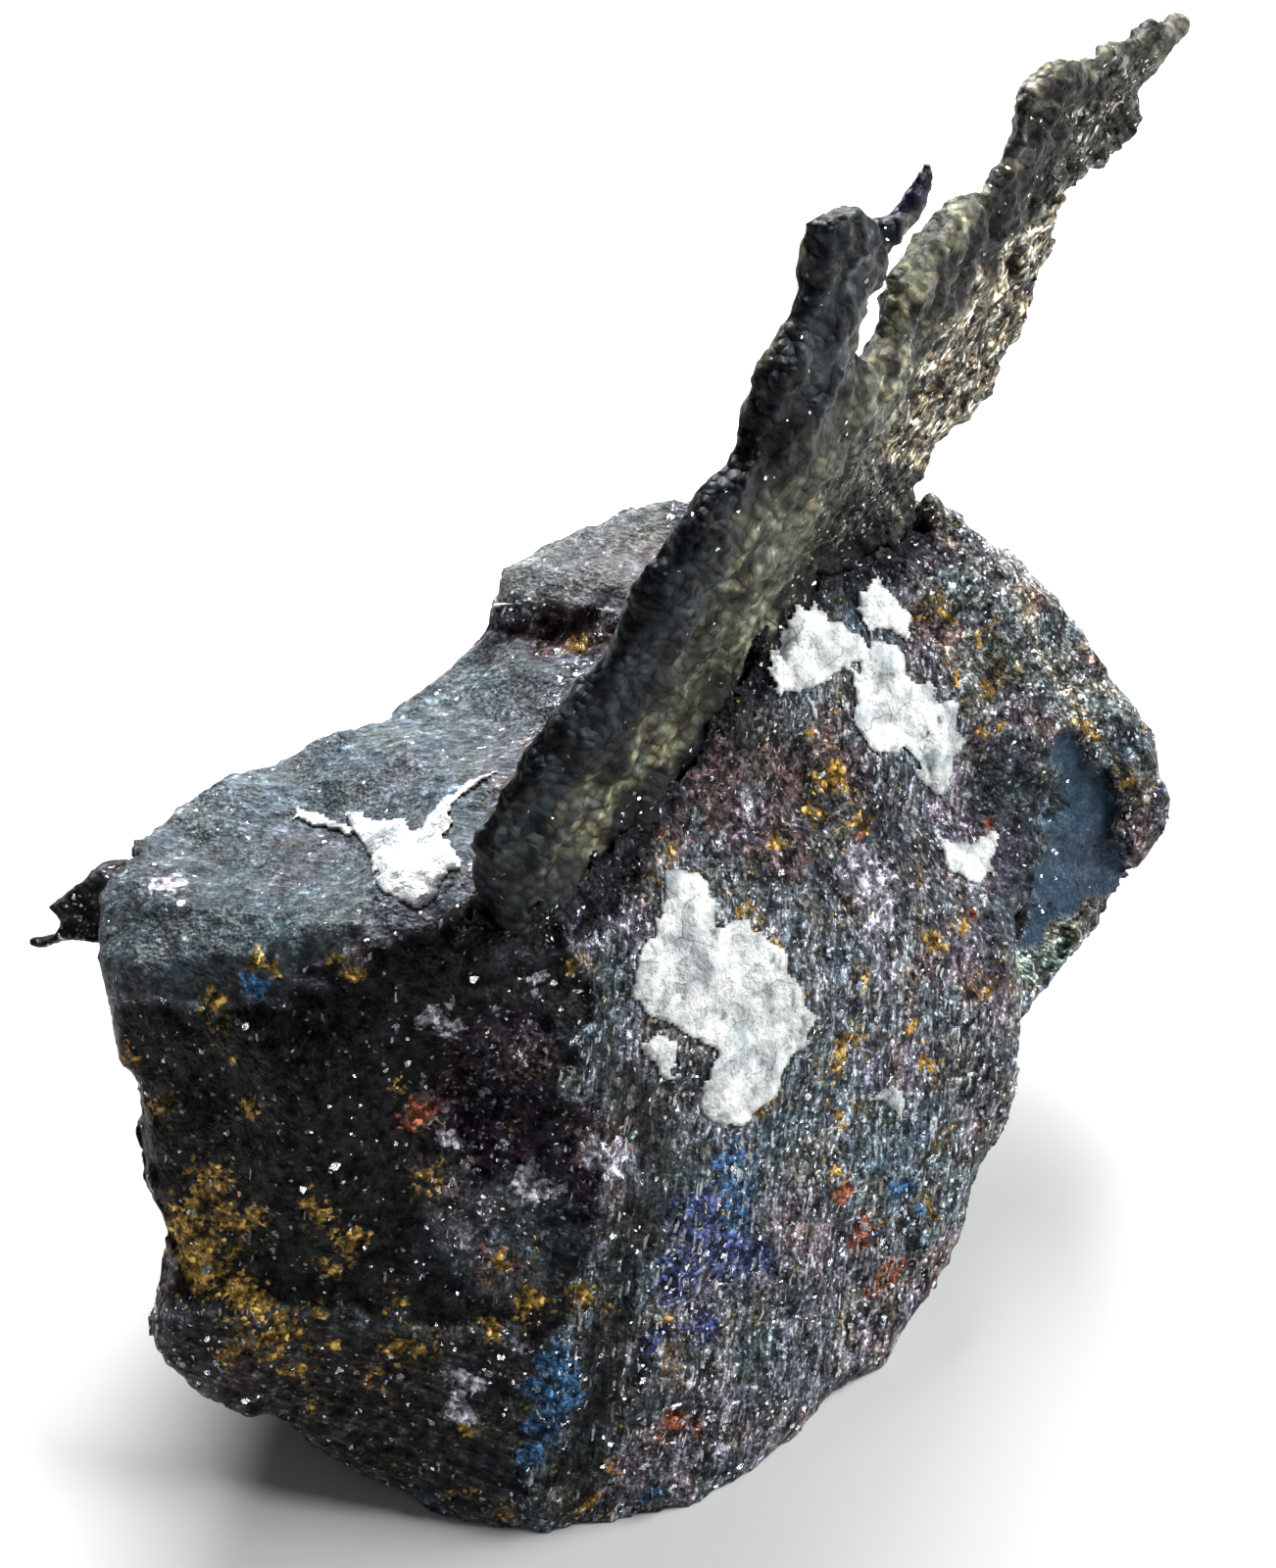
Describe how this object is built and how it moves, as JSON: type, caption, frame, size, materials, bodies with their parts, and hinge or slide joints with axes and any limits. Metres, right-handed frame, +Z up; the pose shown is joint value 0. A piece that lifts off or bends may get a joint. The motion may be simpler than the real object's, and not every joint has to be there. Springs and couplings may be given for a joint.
{
  "type": "native silver specimen",
  "caption": "Ragged sheet of tarnished native silver standing on edge in a broken lump of dark sulphide ore with white calcite.",
  "frame": {"origin": "on the flat spot that the specimen rests on, near the middle of it", "axes": "+Z up, -Y towards the two broad broken faces at the front, +X towards the lobe on the right; the silver sheet runs from the front left to the back right"},
  "size_m": [0.0574, 0.0606, 0.0574],
  "materials": {
    "ore": "dark copper-sulphide ore, granular and sparkling, with bronze, gold, blue and violet tarnish",
    "silver": "native silver with a dark grey-olive tarnish, fibrous and hackly, blue-black along its left rim",
    "calcite": "white calcite, milky, with a soft sheen"
  },
  "bodies": {
    "root": {"ore_matrix": "ore", "silver_sheet": "silver", "silver_spur": "silver", "calcite_front": "calcite", "calcite_chip": "calcite", "calcite_middle": "calcite", "calcite_upper": "calcite", "calcite_crest": "calcite", "calcite_right": "calcite", "calcite_left": "calcite"}
  },
  "joints": []
}
